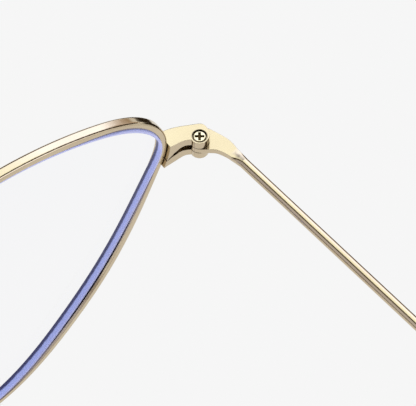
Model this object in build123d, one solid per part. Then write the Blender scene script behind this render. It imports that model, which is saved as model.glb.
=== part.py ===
from build123d import *
from math import cos, radians, sin, tan
import os

# Metal-framed glasses with clear blue-light lenses, in millimetres.
# +Z is up, the front faces -Y and the open temples run back along +Y.
# Everything is drawn for the wearer's right (-X) side and mirrored for the left.
# While drawing, Y = 0 is the hinge axis and Z = 0 is the bottom of the rims.

# rims: the outline's points run from the temple side over the top, as (towards the nose, up),
# from the rim's widest point and from the height of the hinge leaf's top
RIM_OUTLINE = (
    (-0.2, 1.0), (1.3, 5.2), (4.5, 8.6), (10.0, 11.4), (17.0, 13.35), (24.5, 14.1), (33.0, 13.2),
    (41.0, 10.2), (47.6, 4.6), (51.0, -3.4), (50.9, -12.4), (47.7, -21.4), (42.2, -29.4), (36.0, -34.4),
    (29.3, -36.4), (22.3, -34.3), (15.4, -28.7), (9.2, -21.2), (4.6, -13.1), (1.2, -5.2),
)
RIM_SAMPLES = 72                                       # points that carry a drawn-in copy of the outline
WRAP = 5.0                                             # degrees that each rim turns back to the temple
RIM_DEPTH = 1.40                                       # front to back
RIM_WALL = 0.90                                        # outer face to inner face
RIM_MID_Y = -2.30                                      # middle of the rim's depth, ahead of the hinge
RIM_GAP = 18.00                                        # between the two rims at the nose
RIM_ROUND = 0.33                                       # rounding of the rim's outer edges
GROOVE_DEPTH = 0.48
GROOVE_WIDTH = 0.60
KERF = 0.06                                            # split in the rim that lets the lens in

# lenses
LENS_CURVE = 265.0                                     # radius of the front face
LENS_THICK = 1.25
LENS_POLE = (25.6, -11.0)                              # foremost point of the front, on the outline's axes
LENS_SAG = 1.17                                        # how far the pole stands ahead of the edge
LENS_CLEAR = 0.03                                      # lens body to the rim's inner face
TONGUE_WIDTH = 0.50                                    # the lens's bevel, in the groove
TONGUE_REACH = 0.40

# hinge: two lugs hold the temple's flat root between them
AXIS_TO_RIM = 3.90                                     # hinge axis to the rim's widest point
LEAF_THICK = 1.15
SLOT_HEIGHT = 0.97
STACK_HEIGHT = 3.22                                    # upper leaf's top to lower leaf's bottom
BOSS_R = 1.15
LEAF_END_R = 1.50
COUNTERBORE_R = 0.95
COUNTERBORE_DEPTH = 0.42
SCREW_HEAD_R = 0.78
SCREW_SHANK_R = 0.55
SCREW_HOLE_R = 0.58                                    # clearance hole in the upper leaf
THREAD_HOLE_R = 0.56                                   # tapped hole in the lower leaf
SCREW_SUNK = 0.08                                      # screw head below the leaf's top
CROSS_REACH = 0.60                                     # half length of the cross recess
CROSS_WIDTH = 0.34
CROSS_DEPTH = 0.24
CROSS_TURN = 49.0                                      # degrees that the driven screw has stopped at
LUG_MEET = 2.82                                        # lugs meet this far below the leaf's top
LUG_FOOT = 3.90                                        # bottom of the lower lug at the rim

# temples
TONGUE_THICK = 0.80
TONGUE_LOW_GAP = 0.045                                 # temple's root above the lower leaf
TONGUE_HOLE_R = 0.60
WIRE_R = 0.66
WIRE_OUT = 2.15                                        # wire's axis, outboard of the hinge axis
PLATE_END = 3.74                                       # where the flat root starts to turn round
WIRE_START = 5.70
SPLAY = 0.64                                           # degrees that the open wire runs outwards
BEND_Y = 100.0                                         # corner of the ear bend, behind the hinge
BEND_ANGLE = 48.0
BEND_R = 28.0
TIP_R = 1.60
TIP_MOUTH_R = 0.98
TIP_START = 72.0                                       # where the sleeve begins
TIP_TAPER = 11.0
TIP_BORE_CLEAR = 0.03
TIP_SOLID = 4.0                                        # sleeve left solid past the wire's end
TIP_INWARD = 0.05                                      # sideways run of the ear bend, per length

# bridge and nose pads
BRIDGE_R = 0.80
BRIDGE_RISE = 2.6
BRIDGE_UP = 5.0                                        # its ends, above the hinge leaf's top
ARM_R = 0.45
ARM_UP = -8.5
PAD_CENTRE = (-9.2, 2.8, 24.3)
PAD_FACING = (0.84, 0.46, 0.24)                        # towards the nose
PAD_LONG = 6.4                                         # half length
PAD_WIDE = 3.5                                         # half width
PAD_THICK = 2.3
PAD_LIFT = 0.75                                        # pad's back above the box's pivot frame
PAD_ROUND = 0.85
CORE_LONG = 3.6
CORE_WIDE = 1.4
CORE_THICK = 0.6
CORE_GAP = 0.04
BOX_HALF_X = 1.65
BOX_HALF_Y = 1.30
BOX_FLOOR = -1.95
BOX_TOP = 0.10
BOX_WALL = 0.55
STEM_HALF_X = 0.98
STEM_HALF_Y = 0.85
PIVOT_Z = -0.45                                        # pad screw's axis, below the pad
PAD_SCREW_R = 0.40
PAD_SCREW_HEAD_R = 0.72
PAD_SCREW_HEAD = 0.35
RUNNING = 0.03

LEAF_TOP = -min(up for across, up in RIM_OUTLINE)      # height of the upper leaf's top face
RIM_WIDTH = max(across for across, up in RIM_OUTLINE) * cos(radians(WRAP))
AXIS_X = -(RIM_GAP / 2 + RIM_WIDTH + AXIS_TO_RIM)      # right hinge axis
RIM_FRAME = Pos(AXIS_X + AXIS_TO_RIM, RIM_MID_Y, LEAF_TOP) * Rot(0, 0, -WRAP)
TONGUE_Z = LEAF_TOP - LEAF_THICK - SLOT_HEIGHT + TONGUE_LOW_GAP + TONGUE_THICK / 2
OUTLINE = Edge.make_spline([Vector(across, 0, up) for across, up in RIM_OUTLINE], periodic=True)


def outline_point(share, inset, depth):
    """Point a share of the way round the rim's outline, drawn in by inset, in the rim's own frame."""
    along = OUTLINE % share
    inward = Vector(along.Z, 0, -along.X)
    return OUTLINE @ share + inward * inset + Vector(0, depth, 0)


def nose_side_share(up):
    """Share of the outline at which its nose side passes a height."""
    shares = [0.2 + 0.5 * i / 400 for i in range(401)]
    return min(shares, key=lambda share: abs((OUTLINE @ share).Z - up))


def outline_plate(inset, depth_low, depth_high):
    """Flat plate of the rim's outline, drawn in by inset, in the rim's own frame."""
    points = [outline_point(i / RIM_SAMPLES, inset, depth_low) for i in range(RIM_SAMPLES)]
    face = Face(Wire([Edge.make_spline(points, periodic=True)]))
    return extrude(face, amount=depth_high - depth_low, dir=(0, 1, 0))


def block(x_low, x_high, y_low, y_high, z_low, z_high):
    """Box between two corners."""
    size = (x_high - x_low, y_high - y_low, z_high - z_low)
    return Pos(x_low, y_low, z_low) * Box(*size, align=(Align.MIN, Align.MIN, Align.MIN))


def mirrored(solid):
    """Left-hand copy of a right-hand solid."""
    return mirror(solid, about=Plane.YZ)


def rod(radius, z_low, z_high):
    """Upright round rod on the hinge axis."""
    height = z_high - z_low
    return Pos(AXIS_X, 0, z_low) * Cylinder(radius, height, align=(Align.CENTER, Align.CENTER, Align.MIN))


def solid_rim():
    """Block that fills the rim, as a cutter for what is soldered to its outer face."""
    return RIM_FRAME * outline_plate(0, -5, 5)


def rim():
    half = RIM_DEPTH / 2
    bar = outline_plate(0, -half, half)
    bar = fillet(bar.edges(), RIM_ROUND)
    ring = bar - outline_plate(RIM_WALL, -3, 3)
    ring -= outline_plate(RIM_WALL - GROOVE_DEPTH, -GROOVE_WIDTH / 2, GROOVE_WIDTH / 2)
    ring -= block(-3, 6, -3, 3, -LUG_MEET - KERF / 2, -LUG_MEET + KERF / 2)
    return RIM_FRAME * ring


def lens():
    pole_depth = -LENS_THICK / 2 - LENS_SAG
    middle = Vector(LENS_POLE[0], pole_depth + LENS_CURVE, LENS_POLE[1])
    body = outline_plate(RIM_WALL + LENS_CLEAR, -4, 4)
    body &= Pos(middle) * Sphere(LENS_CURVE)
    body -= Pos(middle) * Sphere(LENS_CURVE - LENS_THICK)
    low = -TONGUE_WIDTH / 2
    high = TONGUE_WIDTH / 2
    tongue = outline_plate(RIM_WALL - TONGUE_REACH, low, high)
    tongue -= outline_plate(RIM_WALL + 0.4, low - 1, high + 1)
    return RIM_FRAME * (body + tongue)


def leaf_plan(z_low, z_high):
    """Plan shape of a hinge leaf: a curved arm that ends in an off-centre round boss."""
    outer = Spline(
        (5.6, -3.50), (2.77, -3.41), (0.87, -2.62), (-0.70, -1.68), (-LEAF_END_R, -0.40),
        tangents=((-1, 0), (0.15, 1)),
    )
    end = ThreePointArc((-LEAF_END_R, -0.40), (-1.30, 0.42), (-0.60, BOSS_R * 0.9))
    across = Line((-0.60, BOSS_R * 0.9), (1.27, -0.31))
    inner = Spline((1.27, -0.31), (2.02, -0.72), (3.14, -0.94), (4.20, -1.15), (5.6, -1.15))
    close = Line((5.6, -1.15), (5.6, -3.50))
    arm = extrude(make_face(outer + end + across + inner + close), amount=z_high - z_low)
    boss = Cylinder(BOSS_R, z_high - z_low, align=(Align.CENTER, Align.CENTER, Align.MIN))
    return Pos(AXIS_X, 0, z_low) * (arm + boss)


def side_profile(points):
    """Profile drawn in X and Z from the hinge axis and the leaf's top, carried along Y."""
    face = make_face(Polyline(*[(AXIS_X + x, 0, LEAF_TOP + z) for x, z in points], close=True))
    return extrude(face, amount=10, dir=(0, 1, 0), both=True)


def lug_upper():
    """Upper half of the rim's closing block, with the counterbored hinge leaf."""
    meet = -LUG_MEET + KERF / 2
    profile = [(-5, 0), (7, 0), (7, meet), (4.35, meet), (3.3, -1.80), (2.4, -1.28), (1.7, -LEAF_THICK),
               (-5, -LEAF_THICK)]
    lug = leaf_plan(LEAF_TOP - 6, LEAF_TOP) & side_profile(profile)
    lug -= solid_rim()
    lug -= rod(SCREW_HOLE_R, LEAF_TOP - 4, LEAF_TOP + 1)
    return lug - rod(COUNTERBORE_R, LEAF_TOP - COUNTERBORE_DEPTH, LEAF_TOP + 1)


def lug_lower():
    """Lower half of the closing block, with the tapped hinge leaf."""
    meet = -LUG_MEET - KERF / 2
    slot_floor = -LEAF_THICK - SLOT_HEIGHT
    profile = [(-5, slot_floor), (2.6, slot_floor), (3.6, -2.40), (4.35, meet), (7, meet), (7, -LUG_FOOT),
               (4.6, -LUG_FOOT), (1.6, -STACK_HEIGHT), (-5, -STACK_HEIGHT)]
    lug = leaf_plan(LEAF_TOP - 6, LEAF_TOP) & side_profile(profile)
    lug -= solid_rim()
    return lug - rod(THREAD_HOLE_R, LEAF_TOP - 6, LEAF_TOP)


def hinge_screw():
    """Screw that closes the rim and is the temple's hinge pin."""
    seat = LEAF_TOP - COUNTERBORE_DEPTH
    head_top = LEAF_TOP - SCREW_SUNK
    head = rod(SCREW_HEAD_R, seat, head_top)
    head = fillet(head.edges().sort_by(Axis.Z)[-1], 0.12)
    shank = rod(SCREW_SHANK_R, LEAF_TOP - STACK_HEIGHT + 0.05, seat)
    arm = Pos(0, 0, head_top - CROSS_DEPTH / 2) * Box(2 * CROSS_REACH, CROSS_WIDTH, CROSS_DEPTH * 1.001)
    cross = Pos(AXIS_X, 0, 0) * Rot(0, 0, CROSS_TURN) * (arm + Rot(0, 0, 90) * arm)
    return head + shank - cross


def temple_path(start_y, end_short=0.0):
    """Line of the wire from start_y, round the ear bend, to the tip's end less end_short."""
    drift = tan(radians(SPLAY))
    start = Vector(AXIS_X - WIRE_OUT - drift * start_y, start_y, TONGUE_Z)
    corner = Vector(AXIS_X - WIRE_OUT - drift * BEND_Y, BEND_Y, TONGUE_Z)
    drop = TONGUE_Z - TIP_R
    run = drop / sin(radians(BEND_ANGLE))
    down = Vector(TIP_INWARD, cos(radians(BEND_ANGLE)), -sin(radians(BEND_ANGLE)))
    end = corner + down * (run - end_short)
    return FilletPolyline(start, corner, end, radius=BEND_R), start, (corner - start).normalized()


def temple():
    """Flat hinge root drawn out into a round wire, bent down behind the ear."""
    outer_x = -WIRE_OUT - WIRE_R
    inner_x = -1.35
    outer = Spline((outer_x, PLATE_END), (-2.80, 1.52), (-2.40, 0.12), (-2.05, -0.78), (-1.55, -1.10))
    front = Line((-1.55, -1.10), (-0.35, -1.08))
    cut = Line((-0.35, -1.08), (0.72, 0.87))
    inner = Spline((0.72, 0.87), (-0.10, 1.62), (-0.73, 2.23), (-1.09, 2.93), (inner_x, PLATE_END))
    close = Line((inner_x, PLATE_END), (outer_x, PLATE_END))
    plate = extrude(make_face(outer + front + cut + inner + close), amount=TONGUE_THICK)
    plate += Cylinder(BOSS_R - 0.02, TONGUE_THICK, align=(Align.CENTER, Align.CENTER, Align.MIN))
    plate = Pos(AXIS_X, 0, TONGUE_Z - TONGUE_THICK / 2) * plate
    path, start, along = temple_path(WIRE_START, TIP_SOLID)
    middle_x = AXIS_X + (outer_x + inner_x) / 2
    flat_end = Plane(origin=(middle_x, PLATE_END, TONGUE_Z), x_dir=(1, 0, 0), z_dir=(0, 1, 0))
    throat = loft([flat_end * Rectangle(inner_x - outer_x, TONGUE_THICK),
                   Plane(origin=start, z_dir=along) * Circle(WIRE_R)])
    wire = sweep(Plane(origin=start, z_dir=along) * Circle(WIRE_R), path=path)
    root = plate + throat
    root -= rod(TONGUE_HOLE_R, TONGUE_Z - 2, TONGUE_Z + 2)
    return root + wire


def temple_tip():
    """Plastic sleeve over the end of the temple wire."""
    path, start, along = temple_path(TIP_START + TIP_TAPER)
    sleeve = sweep(Plane(origin=start, z_dir=along) * Circle(TIP_R), path=path)
    sleeve += Plane(origin=start - along * TIP_TAPER, z_dir=along) * Cone(
        TIP_MOUTH_R, TIP_R, TIP_TAPER, align=(Align.CENTER, Align.CENTER, Align.MIN)
    )
    sleeve += Pos(path @ 1) * Sphere(TIP_R)
    bore_path, bore_start, bore_along = temple_path(TIP_START - 1, TIP_SOLID - 0.1)
    bore = sweep(Plane(origin=bore_start, z_dir=bore_along) * Circle(WIRE_R + TIP_BORE_CLEAR), path=bore_path)
    return sleeve - bore


def bridge():
    """Arched wire between the rims."""
    foot = (RIM_FRAME * Vertex(*outline_point(nose_side_share(BRIDGE_UP), RIM_WALL / 2, 0))).center()
    top = Vector(0, foot.Y - 0.8, foot.Z + BRIDGE_RISE)
    path = ThreePointArc(foot, top, Vector(-foot.X, foot.Y, foot.Z))
    arch = sweep(Plane(origin=foot, z_dir=path % 0) * Circle(BRIDGE_R), path=path)
    return arch - solid_rim() - mirrored(solid_rim())


def pad_frame():
    """Plane of the right pad: X across the pad, Y up its length, Z towards the nose."""
    facing = Vector(*PAD_FACING).normalized()
    across = Vector(0, 0, 1).cross(facing).normalized() * -1
    return Plane(origin=PAD_CENTRE, x_dir=across, z_dir=facing)


def pad_arm():
    """Wire from the rim's back face to the pad box."""
    frame = pad_frame()
    share = nose_side_share(ARM_UP)
    foot = (RIM_FRAME * Vertex(*outline_point(share, RIM_WALL / 2, RIM_DEPTH / 2))).center()
    back = (RIM_FRAME * Vertex(*outline_point(share, RIM_WALL / 2, RIM_DEPTH / 2 + 1))).center() - foot
    box_back = frame.from_local_coords(Vector(0, 0, BOX_FLOOR))
    behind = frame.from_local_coords(Vector(0, 0, BOX_FLOOR - 1.7))
    rise = Vector(behind.X - 0.3, behind.Y - 0.6, foot.Z - 0.8)
    out = foot + back * 3.2
    path = FilletPolyline(foot, out, rise, behind, box_back, radius=0.95)
    return sweep(Plane(origin=foot, z_dir=back) * Circle(ARM_R), path=path)


def pad_box():
    """Small channel that holds the pad's stem."""
    box = block(-BOX_HALF_X, BOX_HALF_X, -BOX_HALF_Y, BOX_HALF_Y, BOX_FLOOR, BOX_TOP)
    box = fillet(box.edges().filter_by(Axis.Z), 0.3)
    box -= block(-BOX_HALF_X + BOX_WALL, BOX_HALF_X - BOX_WALL, -3, 3, BOX_FLOOR + BOX_WALL * 0.8, 3)
    box -= Pos(0, 0, PIVOT_Z) * Rot(0, 90, 0) * Cylinder(PAD_SCREW_R + 0.01, 9)
    return pad_frame() * box


def pad_screw():
    shank = Rot(0, 90, 0) * Cylinder(PAD_SCREW_R, 2 * BOX_HALF_X)
    head = Pos(BOX_HALF_X, 0, 0) * Rot(0, 90, 0) * Cylinder(
        PAD_SCREW_HEAD_R, PAD_SCREW_HEAD, align=(Align.CENTER, Align.CENTER, Align.MIN)
    )
    slot = block(BOX_HALF_X + PAD_SCREW_HEAD * 0.5, BOX_HALF_X + 1, -0.1, 0.1, -1, 1)
    return pad_frame() * Pos(0, 0, PIVOT_Z) * (shank + head - slot)


def pad_core():
    """Hard insert of the nose pad, with the stem that the pad screw passes through."""
    plate_low = PAD_LIFT + 0.7
    plate = Pos(0, 0, plate_low) * extrude(Ellipse(CORE_WIDE, CORE_LONG), amount=CORE_THICK)
    stem = block(-STEM_HALF_X, STEM_HALF_X, -STEM_HALF_Y, STEM_HALF_Y, PIVOT_Z, plate_low)
    stem += Pos(0, 0, PIVOT_Z) * Rot(0, 90, 0) * Cylinder(STEM_HALF_Y, 2 * STEM_HALF_X)
    core = plate + stem - Pos(0, 0, PIVOT_Z) * Rot(0, 90, 0) * Cylinder(PAD_SCREW_R + RUNNING, 9)
    return pad_frame() * core


def nose_pad():
    """Soft cushion moulded over the core."""
    pad = Pos(0, 0, PAD_LIFT) * extrude(Ellipse(PAD_WIDE, PAD_LONG), amount=PAD_THICK)
    pad = fillet(pad.edges(), PAD_ROUND)
    plate_low = PAD_LIFT + 0.7
    pocket = Pos(0, 0, plate_low - CORE_GAP) * extrude(
        Ellipse(CORE_WIDE + CORE_GAP, CORE_LONG + CORE_GAP), amount=CORE_THICK + 2 * CORE_GAP
    )
    pocket += block(-STEM_HALF_X - CORE_GAP, STEM_HALF_X + CORE_GAP, -STEM_HALF_Y - CORE_GAP,
                    STEM_HALF_Y + CORE_GAP, PAD_LIFT - 1, plate_low)
    return pad_frame() * (pad - pocket)


SIDE_PARTS = {
    "rim": rim,
    "lens": lens,
    "lug_upper": lug_upper,
    "lug_lower": lug_lower,
    "hinge_screw": hinge_screw,
    "temple": temple,
    "temple_tip": temple_tip,
    "pad_arm": pad_arm,
    "pad_box": pad_box,
    "pad_screw": pad_screw,
    "pad_core": pad_core,
    "nose_pad": nose_pad,
}


def main():
    nodes = {"bridge": bridge()}
    for name, make in SIDE_PARTS.items():
        right = make()
        nodes[name + "_right"] = right
        nodes[name + "_left"] = mirrored(right)
    # The origin is the middle of the footprint, on the surface the glasses stand on.
    low_y = min(n.bounding_box().min.Y for n in nodes.values())
    high_y = max(n.bounding_box().max.Y for n in nodes.values())
    low_z = min(n.bounding_box().min.Z for n in nodes.values())
    shift = Vector(0, -(low_y + high_y) / 2, -low_z)
    print("hinge axis x", round(AXIS_X, 3), "shift", shift)
    os.makedirs("parts", exist_ok=True)
    for name, solid in nodes.items():
        export_step(Pos(shift) * solid, f"parts/{name}.step")


main()
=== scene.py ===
import math

import bmesh
import bpy
import numpy as np
from mathutils import Matrix, Vector


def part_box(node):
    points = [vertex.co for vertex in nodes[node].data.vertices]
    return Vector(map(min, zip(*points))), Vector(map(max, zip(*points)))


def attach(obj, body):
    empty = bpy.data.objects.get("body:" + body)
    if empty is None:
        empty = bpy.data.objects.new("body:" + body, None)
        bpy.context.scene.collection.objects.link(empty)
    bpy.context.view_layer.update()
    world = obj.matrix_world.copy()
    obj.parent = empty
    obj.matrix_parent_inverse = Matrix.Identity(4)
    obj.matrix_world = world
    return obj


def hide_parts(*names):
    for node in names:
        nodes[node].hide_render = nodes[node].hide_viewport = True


# The looks of the metal-framed blue-light glasses, in metres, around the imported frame.
# +Z is up, the front faces -Y, and the temples run back along +Y.

MM = 0.001
SIDES = ("right", "left")

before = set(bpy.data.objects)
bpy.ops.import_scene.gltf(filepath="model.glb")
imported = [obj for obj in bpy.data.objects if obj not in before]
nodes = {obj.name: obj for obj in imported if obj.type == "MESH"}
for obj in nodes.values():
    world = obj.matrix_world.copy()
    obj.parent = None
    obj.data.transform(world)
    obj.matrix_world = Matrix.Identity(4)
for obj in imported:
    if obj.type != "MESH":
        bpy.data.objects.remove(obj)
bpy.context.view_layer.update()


# ---- node helpers ----

def new_material(name):
    """An empty node material and its output."""
    material = bpy.data.materials.new(name)
    material.use_nodes = True
    material.node_tree.nodes.clear()
    output = material.node_tree.nodes.new("ShaderNodeOutputMaterial")
    return material, material.node_tree, output


def put(tree, kind, inputs, **settings):
    """A node of that kind, whose inputs are set to values or joined to sockets."""
    made = tree.nodes.new(kind)
    for key, value in settings.items():
        setattr(made, key, value)
    for key, value in inputs.items():
        if isinstance(value, bpy.types.NodeSocket):
            tree.links.new(value, made.inputs[key])
        else:
            made.inputs[key].default_value = value
    return made


def place(tree, scale=(1, 1, 1)):
    """Object coordinates, stretched by scale."""
    where = put(tree, "ShaderNodeTexCoord", {}).outputs["Object"]
    return put(tree, "ShaderNodeMapping", {"Vector": where, "Scale": scale}).outputs[0]


def noise(tree, where, scale, detail=4.0, roughness=0.55):
    """Fractal noise, roughly between 0.3 and 0.7."""
    made = put(tree, "ShaderNodeTexNoise",
               {"Vector": where, "Scale": scale, "Detail": detail, "Roughness": roughness})
    return made.outputs["Fac"]


def spread(tree, value, low, high, from_low=0.3, from_high=0.7):
    """A value between from_low and from_high, moved to between low and high."""
    made = put(tree, "ShaderNodeMapRange",
               {"Value": value, "From Min": from_low, "From Max": from_high, "To Min": low, "To Max": high})
    return made.outputs[0]


def ramp(tree, value, stops):
    """A colour ramp through (position, colour) stops."""
    made = put(tree, "ShaderNodeValToRGB", {"Fac": value})
    elements = made.color_ramp.elements
    while len(elements) < len(stops):
        elements.new(1.0)
    for element, (position, colour) in zip(elements, stops):
        element.position = position
        element.color = (*colour, 1.0)
    return made.outputs["Color"]


def bump(tree, height, strength, distance, normal=None):
    """A surface normal tilted by a height, on top of another normal if one is given."""
    inputs = {"Height": height, "Strength": strength, "Distance": distance}
    if normal is not None:
        inputs["Normal"] = normal
    return put(tree, "ShaderNodeBump", inputs).outputs[0]


# ---- object helpers ----

def link(name, data):
    """A new object in the scene."""
    made = bpy.data.objects.new(name, data)
    bpy.context.scene.collection.objects.link(made)
    return made


def to_object(name, shape, material, smooth=False):
    """Turns a bmesh into a linked object with one material."""
    mesh = bpy.data.meshes.new(name)
    shape.to_mesh(mesh)
    shape.free()
    if smooth:
        mesh.shade_smooth()
    mesh.materials.append(material)
    return link(name, mesh)


# ---- materials ----

CREVICE_REACH = 2.4 * MM
CREVICE_SHADE = (0.030, 0.019, 0.008, 1.0)
CREVICE_SHUT = 0.18                                    # open share at which the painted shade is full
CREVICE_OPEN = 0.42                                    # open share at which there is no painted shade


def painted_crevice_shade(tree, colour):
    """The colour, with painted shade: dark brown deep in slots and corners, where ambient occlusion finds
    them.
    """
    # painted shade: the colour goes dark brown where the surface is hemmed in by nearby metal
    occlusion = put(tree, "ShaderNodeAmbientOcclusion", {"Distance": CREVICE_REACH}, samples=8)
    unshaded = spread(tree, occlusion.outputs["AO"], 0.0, 1.0, CREVICE_SHUT, CREVICE_OPEN)
    mixed = put(tree, "ShaderNodeMix", {"Factor": unshaded, 6: CREVICE_SHADE, 7: colour}, data_type="RGBA")
    return mixed.outputs[2]


def metal(name, light, deep, rough_low, rough_high, edge):
    """Polished plated metal: colour drift, buffing haze, hairline scratches, softened edges and painted shade
    in its crevices.
    """
    material, tree, output = new_material(name)
    where = place(tree)
    drift = noise(tree, where, 160.0, 3.0)
    colour = ramp(tree, drift, ((0.30, deep), (0.70, light)))
    haze = noise(tree, where, 900.0, 5.0, 0.65)
    roughness = spread(tree, haze, rough_low, rough_high)
    hairs = noise(tree, place(tree, (9.0, 0.6, 9.0)), 2600.0, 2.0)
    rounded = put(tree, "ShaderNodeBevel", {"Radius": edge}, samples=6).outputs[0]
    normal = bump(tree, hairs, 0.10, 0.006 * MM, rounded)
    shader = put(tree, "ShaderNodeBsdfPrincipled",
                 {"Base Color": painted_crevice_shade(tree, colour), "Metallic": 1.0, "Roughness": roughness,
                  "Normal": normal})
    tree.links.new(shader.outputs[0], output.inputs[0])
    return material


GOLD_LIGHT = (0.60, 0.50, 0.345)
GOLD_DEEP = (0.55, 0.445, 0.305)
GOLD_EDGE = 0.10 * MM                                  # radius that shading gives the sharp edges
gold = metal("polished_pale_gold", GOLD_LIGHT, GOLD_DEEP, 0.09, 0.17, GOLD_EDGE)

SCREW_BRIGHT = (0.80, 0.70, 0.50)
SCREW_RECESS_SHADE = (0.085, 0.055, 0.022)
RECESS_FULL_SHADE = 0.16 * MM                                # depth below the head at which the painted shade is full
RECESS_NO_SHADE = 0.05 * MM                               # depth below the head above which there is no painted shade
SCREW_EDGE = 0.03 * MM


def screw_metal(name, top):
    """Turned screw metal, with painted shade, dark brown, below its top, down in the recess."""
    material, tree, output = new_material(name)
    where = place(tree)
    height = put(tree, "ShaderNodeSeparateXYZ", {"Vector": where}).outputs["Z"]
    # painted shade: the colour darkens with depth below the head's top, down into the recess
    level = spread(tree, height, 0.0, 1.0, top - RECESS_FULL_SHADE, top - RECESS_NO_SHADE)
    # noise that makes the edge of the painted shade uneven
    shade_jitter = spread(tree, noise(tree, where, 2200.0, 4.0), -0.08, 0.08)
    mottled = put(tree, "ShaderNodeMath", {0: level, 1: shade_jitter}, operation="ADD").outputs[0]
    colour = ramp(tree, mottled, ((0.10, SCREW_RECESS_SHADE), (0.75, SCREW_BRIGHT)))
    roughness = spread(tree, mottled, 0.55, 0.20, 0.0, 1.0)
    grain = noise(tree, where, 5200.0, 2.0, 0.5)
    rounded = put(tree, "ShaderNodeBevel", {"Radius": SCREW_EDGE}, samples=6).outputs[0]
    normal = bump(tree, grain, 0.15, 0.004 * MM, rounded)
    shader = put(tree, "ShaderNodeBsdfPrincipled",
                 {"Base Color": colour, "Metallic": 1.0, "Roughness": roughness, "Normal": normal})
    tree.links.new(shader.outputs[0], output.inputs[0])
    return material


AXIS_TO_RIM = 3.90 * MM                                # hinge axis to the rim's widest point
RIM_MID_Y = -2.30 * MM                                 # middle of the rim's depth, from the hinge axis
SCREW_SUNK = 0.08 * MM                                 # screw head below the rim frame's origin
WRAP = math.radians(5.0)                               # each rim turns back to its temple
LENS_CURVE = 265.0 * MM
LENS_POLE = (25.6 * MM, -11.0 * MM)                    # foremost point, across and up in the rim's frame
LENS_SAG = 1.17 * MM                                   # pole ahead of the rim's middle
TONGUE_HALF = 0.25 * MM                                # half width of the bevel in the rim's groove
LENS_THICK = 1.25 * MM


def lens_centre(side):
    """Centre of the spheres that the lens's two faces lie on."""
    low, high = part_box("hinge_screw_right")
    across, up = LENS_POLE
    back = LENS_CURVE - LENS_THICK / 2 - LENS_SAG
    x = (low.x + high.x) / 2 + AXIS_TO_RIM + across * math.cos(WRAP) + back * math.sin(WRAP)
    y = (low.y + high.y) / 2 + RIM_MID_Y - across * math.sin(WRAP) + back * math.cos(WRAP)
    return Vector((x if side == "right" else -x, y, high.z + SCREW_SUNK + up))


def lens_face():
    """Clear lens face with a faint blue-violet coating that shows at a slant."""
    material, tree, output = new_material("coated_lens_face")
    at = place(tree)
    clear = put(tree, "ShaderNodeBsdfTransparent", {"Color": (0.998, 0.998, 1.0, 1.0)})
    gloss = put(tree, "ShaderNodeBsdfGlossy", {"Color": (0.80, 0.83, 1.0, 1.0), "Roughness": 0.02})
    slant = put(tree, "ShaderNodeLayerWeight", {"Blend": 0.5}).outputs["Facing"]
    coat = spread(tree, slant, 0.012, 0.12, 0.55, 1.0)
    smear = spread(tree, noise(tree, at, 60.0, 2.0), 0.85, 1.15)
    share = put(tree, "ShaderNodeMath", {0: coat, 1: smear}, operation="MULTIPLY").outputs[0]
    face = put(tree, "ShaderNodeMixShader", {0: share, 1: clear.outputs[0], 2: gloss.outputs[0]})
    tree.links.new(face.outputs[0], output.inputs[0])
    return material


EDGE_PAINTED_GLOW = 0.35                                       # strength of the painted glow on the lens's edge band


def lens_edge(name, centre):
    """Lens edge with a painted blue-violet reflection, coloured by depth: an indigo line at the front,
    periwinkle behind, and a painted glow.
    """
    material, tree, output = new_material(name)
    at = place(tree)
    out = put(tree, "ShaderNodeVectorMath", {0: at, 1: centre}, operation="SUBTRACT").outputs[0]
    length = put(tree, "ShaderNodeVectorMath", {0: out}, operation="LENGTH").outputs["Value"]
    behind = put(tree, "ShaderNodeMath", {0: LENS_CURVE, 1: length}, operation="SUBTRACT").outputs[0]
    depth = spread(tree, behind, 0.0, 1.0, 0.0, 1.1 * LENS_THICK)
    frost = noise(tree, at, 1500.0, 4.0)
    uneven = put(tree, "ShaderNodeMath", {0: depth, 1: spread(tree, frost, -0.03, 0.03)},
                 operation="ADD").outputs[0]
    # painted reflection: blue-violet bands that stand in for the coating's reflection at the lens's edge
    band = ramp(tree, uneven, (
        (0.00, (0.10, 0.10, 0.24)),
        (0.07, (0.035, 0.036, 0.115)),
        (0.27, (0.045, 0.050, 0.16)),
        (0.40, (0.38, 0.44, 0.86)),
        (0.84, (0.44, 0.49, 0.90)),
        (0.92, (0.42, 0.44, 0.72)),
    ))
    # painted glow: the edge band emits its own colour
    shader = put(tree, "ShaderNodeBsdfPrincipled",
                 {"Base Color": band, "Roughness": spread(tree, frost, 0.30, 0.45),
                  "Emission Color": band, "Emission Strength": EDGE_PAINTED_GLOW})
    tree.links.new(shader.outputs[0], output.inputs[0])
    return material


def tip_plastic():
    """Honey-brown moulded plastic for the ear tips."""
    material, tree, output = new_material("honey_plastic")
    along = place(tree, (1.0, 0.25, 0.45))
    cloud = noise(tree, along, 130.0, 5.0, 0.6)
    colour = ramp(tree, cloud, (
        (0.28, (0.20, 0.085, 0.028)),
        (0.50, (0.42, 0.21, 0.080)),
        (0.72, (0.60, 0.36, 0.16)),
    ))
    skin = noise(tree, place(tree), 1400.0, 4.0)
    shader = put(tree, "ShaderNodeBsdfPrincipled",
                 {"Base Color": colour, "Roughness": spread(tree, skin, 0.16, 0.26),
                  "Subsurface Weight": 0.25, "Subsurface Radius": (0.0015, 0.0008, 0.0004),
                  "Coat Weight": 0.4, "Coat Roughness": 0.08, "Normal": bump(tree, skin, 0.12, 0.01 * MM)})
    tree.links.new(shader.outputs[0], output.inputs[0])
    return material


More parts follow.
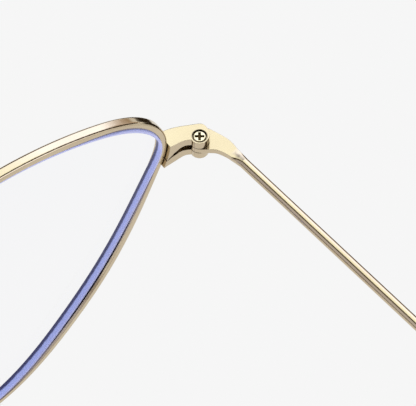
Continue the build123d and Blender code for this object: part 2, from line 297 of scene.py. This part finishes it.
def silicone():
    """Soft translucent pad rubber."""
    material, tree, output = new_material("pad_silicone")
    where = place(tree)
    cloud = noise(tree, where, 420.0, 4.0)
    colour = ramp(tree, cloud, ((0.30, (0.74, 0.75, 0.76)), (0.70, (0.86, 0.87, 0.88))))
    skin = noise(tree, where, 2600.0, 5.0, 0.6)
    shader = put(tree, "ShaderNodeBsdfPrincipled",
                 {"Base Color": colour, "Roughness": spread(tree, skin, 0.22, 0.36), "IOR": 1.41,
                  "Subsurface Weight": 0.5, "Subsurface Radius": (0.002, 0.002, 0.0022),
                  "Transmission Weight": 0.35, "Normal": bump(tree, skin, 0.18, 0.01 * MM)})
    tree.links.new(shader.outputs[0], output.inputs[0])
    return material


def core_plastic():
    """Hard frosted insert inside the pad."""
    material, tree, output = new_material("pad_insert")
    grain = noise(tree, place(tree), 1900.0, 5.0)
    colour = ramp(tree, grain, ((0.3, (0.66, 0.66, 0.64)), (0.7, (0.78, 0.78, 0.76))))
    shader = put(tree, "ShaderNodeBsdfPrincipled",
                 {"Base Color": colour, "Roughness": spread(tree, grain, 0.35, 0.5),
                  "Normal": bump(tree, grain, 0.2, 0.01 * MM)})
    tree.links.new(shader.outputs[0], output.inputs[0])
    return material


def paint(node_name, material):
    """Gives a CAD node its material in every slot."""
    mesh = nodes[node_name].data
    mesh.materials.clear()
    mesh.materials.append(material)


# ---- the CAD nodes' finishes ----

GOLD_NODES = ("rim", "lug_upper", "lug_lower", "temple", "pad_arm", "pad_box")
paint("bridge", gold)
plastic = tip_plastic()
insert = core_plastic()
screw_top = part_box("hinge_screw_right")[1].z
lens_coat = lens_face()
hinge_screw_finish = screw_metal("hinge_screw_metal", screw_top)
PAD_SCREW_LIGHT = (0.74, 0.70, 0.62)
PAD_SCREW_DEEP = (0.66, 0.61, 0.52)
PAD_SCREW_EDGE = 0.04 * MM
pad_screw_finish = metal("pad_screw_metal", PAD_SCREW_LIGHT, PAD_SCREW_DEEP, 0.16, 0.28, PAD_SCREW_EDGE)
for side in SIDES:
    for part in GOLD_NODES:
        paint(f"{part}_{side}", gold)
    paint(f"hinge_screw_{side}", hinge_screw_finish)
    paint(f"pad_screw_{side}", pad_screw_finish)
    paint(f"temple_tip_{side}", plastic)
    paint(f"pad_core_{side}", insert)
    paint(f"lens_{side}", lens_coat)


# ---- ground lens edges, with a painted reflection ----

EDGE_SPOKES = 288
EDGE_ROWS = 8
EDGE_INSET = 0.03 * MM                                 # ring inside the lens's side wall
EDGE_SKIN = 0.02 * MM
BEVEL_ROWS = 3
BEVEL_WIDE = 0.34 * MM
BEVEL_PROUD = 0.03 * MM                                # bevel behind the back face
NEAR = 0.02 * MM                                       # how closely a vertex has to lie on a face
WALL_SLOPE = 0.5                                       # a wall face's normal has less than this along Y


def wall_outline(side, centre, across, back, angles):
    """Side wall's outline, as (across, up) from the spheres' centre, and the outline's middle."""
    mesh = nodes[f"lens_{side}"].data
    points = np.array([v.co for v in mesh.vertices], float) - np.array(centre)
    behind = LENS_CURVE - np.linalg.norm(points, axis=1)
    walls = sorted({v for p in mesh.polygons if abs(p.normal.y) < WALL_SLOPE for v in p.vertices})
    off_middle = np.abs(points @ np.array(back) + LENS_CURVE - LENS_THICK / 2 - LENS_SAG)
    off_face = np.minimum(np.abs(behind), np.abs(behind - LENS_THICK))
    chosen = points[[v for v in walls if off_middle[v] > TONGUE_HALF + NEAR and off_face[v] < NEAR]]
    flat = np.stack([chosen @ np.array(across), chosen[:, 2]], axis=1)
    middle = (flat.min(axis=0) + flat.max(axis=0)) / 2
    turn = np.arctan2(flat[:, 1] - middle[1], flat[:, 0] - middle[0])
    order = np.argsort(turn)
    loop = [np.interp(angles, turn[order], flat[order, k], period=2 * math.pi) for k in (0, 1)]
    return np.stack(loop, axis=1), middle


def edge_band(side):
    """Ring inside the lens's side wall that carries a painted reflection, with a narrow ground bevel turned
    in over its back face.
    """
    flip = 1 if side == "right" else -1
    across = Vector((math.cos(WRAP) * flip, -math.sin(WRAP), 0))
    back = Vector((math.sin(WRAP) * flip, math.cos(WRAP), 0))
    centre = lens_centre(side)
    angles = np.linspace(-math.pi, math.pi, EDGE_SPOKES, endpoint=False)
    outline, middle = wall_outline(side, centre, across, back, angles)
    inward = middle - outline
    inward /= np.linalg.norm(inward, axis=1)[:, None]
    steps = [(EDGE_INSET, LENS_THICK * row / EDGE_ROWS) for row in range(EDGE_ROWS + 1)]
    steps += [(EDGE_INSET + BEVEL_WIDE * row / BEVEL_ROWS, LENS_THICK + BEVEL_PROUD)
              for row in range(BEVEL_ROWS + 1)]
    ring = bmesh.new()
    rows = []
    for inset, depth in steps:
        row = []
        for sideways, height in outline + inward * inset:
            ahead = math.sqrt((LENS_CURVE - depth) ** 2 - sideways ** 2 - height ** 2)
            row.append(ring.verts.new(centre + across * sideways - back * ahead + Vector((0, 0, height))))
        rows.append(row)
    for low, high in zip(rows, rows[1:]):
        for j in range(EDGE_SPOKES):
            k = (j + 1) % EDGE_SPOKES
            ring.faces.new((low[j], low[k], high[k], high[j]))
    bmesh.ops.recalc_face_normals(ring, faces=ring.faces)
    band = to_object(f"lens_edge_{side}", ring, lens_edge(f"lens_edge_painted_reflection_{side}", centre), smooth=True)
    skin = band.modifiers.new("skin", "SOLIDIFY")
    skin.thickness = EDGE_SKIN
    skin.offset = 0
    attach(band, "front")


for side in SIDES:
    edge_band(side)


# ---- nose pads ----

PAD_FACING = Vector((0.84, 0.46, 0.24))                # towards the nose, on the right side
PAD_LONG = 6.4 * MM                                    # half length
PAD_WIDE = 3.5 * MM                                    # half width
PAD_THICK = 2.3 * MM
PAD_FIT = 0.985                                        # share of the CAD pad's length and width
PAD_NARROWING = 0.10                                   # narrower at the top than at the bottom
PAD_RINGS = 22
PAD_SPOKES = 48
PAD_PLAN = 0.42                                        # exponents that square up the section
PAD_SECTION = 0.55
PAD_CROWN = 0.22                                       # fall of the front from middle to rim
PAD_DISH = 0.10                                        # hollow in the back


def pad_axes(side):
    """Across, up and facing directions of a nose pad."""
    flip = 1 if side == "right" else -1
    facing = Vector((PAD_FACING.x * flip, PAD_FACING.y, PAD_FACING.z)).normalized()
    across = facing.cross(Vector((0, 0, 1))).normalized()
    return across, facing.cross(across) * -1, facing


def soft_pad(side, material):
    """Oval cushion with a crowned face, a rounded rim and a slightly dished back."""
    across, up, facing = pad_axes(side)
    low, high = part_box(f"nose_pad_{side}")
    middle = (low + high) / 2
    shape = bmesh.new()
    rows = []
    for i in range(PAD_RINGS + 1):
        turn = math.pi * i / PAD_RINGS
        height = -math.cos(turn)
        flat = abs(math.sin(turn)) ** PAD_PLAN
        crown = (1 - PAD_CROWN * flat ** 2) if height > 0 else (1 - PAD_DISH * (1 - flat ** 2))
        z = (abs(height) ** PAD_SECTION) * math.copysign(1, height) * PAD_THICK / 2 * crown
        row = []
        for j in range(PAD_SPOKES):
            angle = 2 * math.pi * j / PAD_SPOKES
            narrow = 1.0 - PAD_NARROWING * math.sin(angle)
            x = math.cos(angle) * PAD_WIDE * PAD_FIT * flat * narrow
            y = math.sin(angle) * PAD_LONG * PAD_FIT * flat
            row.append(shape.verts.new(middle + across * x + up * y + facing * z))
            if i in (0, PAD_RINGS):
                break
        rows.append(row)
    for lower, upper in zip(rows, rows[1:]):
        for j in range(PAD_SPOKES):
            k = (j + 1) % PAD_SPOKES
            corners = [lower[j % len(lower)], lower[k % len(lower)],
                       upper[k % len(upper)], upper[j % len(upper)]]
            shape.faces.new(list(dict.fromkeys(corners)))
    bmesh.ops.recalc_face_normals(shape, faces=shape.faces)
    return to_object(f"soft_pad_{side}", shape, material, smooth=True)


rubber = silicone()
for side in SIDES:
    pad = soft_pad(side, rubber)
    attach(pad, f"pad_{side}")
    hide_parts(f"nose_pad_{side}")


# ---- floor, light and camera ----

FLOOR_HALF = 1.6
FLOOR_PALE = 0.9225


def floor():
    """Plain pale floor that only glows, evenly, so that it takes no shadow."""
    shape = bmesh.new()
    bmesh.ops.create_grid(shape, x_segments=8, y_segments=8, size=FLOOR_HALF)
    material, tree, output = new_material("pale_floor")
    glow = put(tree, "ShaderNodeEmission",
               {"Color": (FLOOR_PALE, FLOOR_PALE, FLOOR_PALE, 1.0), "Strength": 1.0})
    tree.links.new(glow.outputs[0], output.inputs[0])
    to_object("floor", shape, material)


SKY_STRENGTH = 2.6
WHITE = (1.0, 1.0, 1.0)
DARK = (0.06, 0.042, 0.024)
TAN = (0.38, 0.35, 0.32)
BROWN = (0.42, 0.34, 0.26)
CREAM = (0.90, 0.88, 0.85)
DUSK = (0.45, 0.42, 0.38)
PALE_BLUE = (0.75, 0.81, 1.0)
PALE_GREEN = (0.65, 0.70, 0.66)
SKY = (                                                # shades from the low to the high end of each axis
    ("X", ((0.00, BROWN), (0.045, BROWN), (0.08, WHITE), (0.55, WHITE),
           (0.60, DARK), (0.74, DARK), (0.80, TAN), (1.00, TAN))),
    ("Y", ((0.00, DARK), (0.16, DARK), (0.24, WHITE), (0.53, WHITE),
           (0.59, DARK), (0.84, DARK), (0.90, CREAM), (1.00, CREAM))),
    ("Z", ((0.50, DUSK), (0.60, PALE_BLUE), (0.84, PALE_BLUE), (0.92, PALE_GREEN), (1.00, PALE_GREEN))),
)


def studio():
    """Soft sky: a bright window between dark bands, the shades along X, Y and Z multiplied together."""
    world = bpy.data.worlds.new("studio")
    bpy.context.scene.world = world
    world.use_nodes = True
    tree = world.node_tree
    tree.nodes.clear()
    output = tree.nodes.new("ShaderNodeOutputWorld")
    direction = put(tree, "ShaderNodeTexCoord", {}).outputs["Generated"]
    axes = put(tree, "ShaderNodeSeparateXYZ", {"Vector": direction})
    shades = [ramp(tree, spread(tree, axes.outputs[axis], 0.0, 1.0, -1.0, 1.0), stops)
              for axis, stops in SKY]
    both = shades[0]
    for shade in shades[1:]:
        both = put(tree, "ShaderNodeMix", {"Factor": 1.0, 6: both, 7: shade}, data_type="RGBA",
                   blend_type="MULTIPLY").outputs[2]
    sky = put(tree, "ShaderNodeBackground", {"Color": both, "Strength": SKY_STRENGTH})
    tree.links.new(sky.outputs[0], output.inputs[0])


FLAG_X = 115 * MM
FLAG_FRONT = -150 * MM
FLAG_BACK = -30 * MM
FLAG_HIGH = 34 * MM


def flags():
    """Low dark cards either side of the front, seen in reflections but not by the camera."""
    material, tree, output = new_material("flag_cloth")
    cloth = put(tree, "ShaderNodeBsdfDiffuse", {"Color": (0.05, 0.035, 0.02, 1.0)})
    tree.links.new(cloth.outputs[0], output.inputs[0])
    for side, x in zip(SIDES, (-FLAG_X, FLAG_X)):
        outline = ((FLAG_FRONT, 0), (FLAG_BACK, 0), (FLAG_BACK, FLAG_HIGH), (FLAG_FRONT, FLAG_HIGH))
        shape = bmesh.new()
        shape.faces.new([shape.verts.new((x, y, z)) for y, z in outline])
        card = to_object(f"flag_{side}", shape, material)
        card.visible_camera = False
        card.visible_transmission = False


VIEW_AZIMUTH = math.radians(139.0)                     # round from the front
VIEW_ELEVATION = math.radians(57.0)
VIEW_WIDTH = 50.73 * MM                                # what the view spans at the hinge
VIEW_DISTANCE = 0.6
SENSOR = 36.0
AIM_RIGHT = 1.0365 * MM                                # the camera's aim, right of the hinge boss
AIM_DOWN = 8.1461 * MM                                 # and below it, in the view


def camera():
    """Long lens from behind and above the right hinge, aimed a little off its boss."""
    data = bpy.data.cameras.new("camera")
    data.sensor_width = SENSOR
    data.lens = SENSOR * VIEW_DISTANCE / VIEW_WIDTH
    data.clip_start = 0.01
    data.clip_end = 20.0
    made = link("camera", data)
    level = math.cos(VIEW_ELEVATION)
    back = Vector((math.sin(VIEW_AZIMUTH) * level, -math.cos(VIEW_AZIMUTH) * level, math.sin(VIEW_ELEVATION)))
    right = Vector((math.cos(VIEW_AZIMUTH), math.sin(VIEW_AZIMUTH), 0))
    up = back.cross(right)
    low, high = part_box("hinge_screw_right")
    boss = Vector(((low.x + high.x) / 2, (low.y + high.y) / 2, high.z))
    aim = boss + right * AIM_RIGHT - up * AIM_DOWN
    made.matrix_world = Matrix.Translation(aim + back * VIEW_DISTANCE) @ Matrix(
        (right, up, back)).transposed().to_4x4()
    bpy.context.scene.camera = made


floor()
flags()
studio()
camera()
bpy.context.scene.view_settings.view_transform = "Standard"
bpy.context.scene.view_settings.look = "None"
